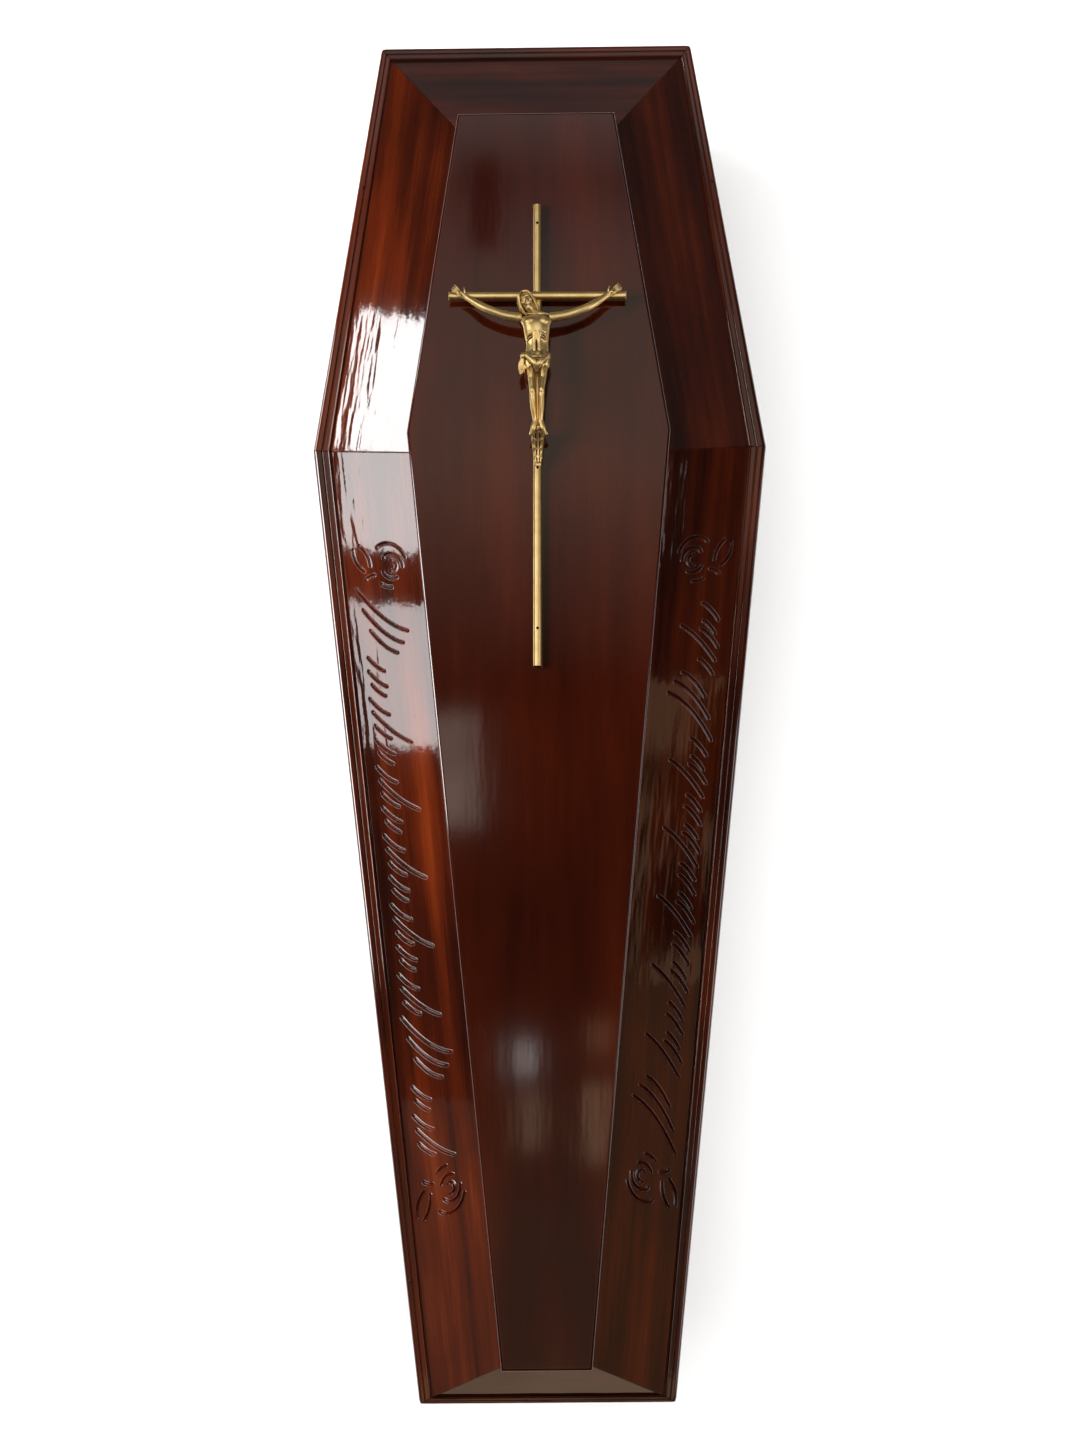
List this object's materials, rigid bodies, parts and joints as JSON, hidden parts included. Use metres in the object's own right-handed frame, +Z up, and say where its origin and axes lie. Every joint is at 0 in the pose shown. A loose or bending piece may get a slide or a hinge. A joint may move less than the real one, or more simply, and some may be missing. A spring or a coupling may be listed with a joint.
{
  "type": "wooden coffin",
  "caption": "Six-sided wooden coffin with a lift-off lid: moulded rim, sloping boards carved with rows of strokes, a flat top board and a gold crucifix, over a hollow flared box.",
  "frame": {"origin": "centre of the underside, on the surface that the coffin lies on", "axes": "+X to the right as seen from above with the head end up, +Y along the length towards the head, +Z up"},
  "size_m": [0.68, 2.026, 0.5461],
  "materials": {
    "varnished_wood": "high-gloss dark red-brown varnish over straight grain",
    "top_panel_wood": "high-gloss dark brown varnish",
    "gold_metal": "polished gold-coloured metal"
  },
  "bodies": {
    "root": {"base_bottom_board": "varnished_wood", "base_wall_head": "varnished_wood", "base_wall_head_left": "varnished_wood", "base_wall_leg_left": "varnished_wood", "base_wall_foot": "varnished_wood", "base_wall_leg_right": "varnished_wood", "base_wall_head_right": "varnished_wood", "base_plinth_head": "varnished_wood", "base_plinth_head_left": "varnished_wood", "base_plinth_leg_left": "varnished_wood", "base_plinth_foot": "varnished_wood", "base_plinth_leg_right": "varnished_wood", "base_plinth_head_right": "varnished_wood", "lid_rim_head": "varnished_wood", "lid_rim_head_left": "varnished_wood", "lid_rim_leg_left": "varnished_wood", "lid_rim_foot": "varnished_wood", "lid_rim_leg_right": "varnished_wood", "lid_rim_head_right": "varnished_wood", "lid_slope_head": "varnished_wood", "lid_slope_head_left": "varnished_wood", "lid_slope_leg_left": "varnished_wood", "lid_slope_foot": "varnished_wood", "lid_slope_leg_right": "varnished_wood", "lid_slope_head_right": "varnished_wood", "lid_top_panel": "top_panel_wood", "crucifix_upright": "gold_metal", "crucifix_crossbar": "gold_metal", "crucifix_figure": "gold_metal"}
  },
  "joints": []
}
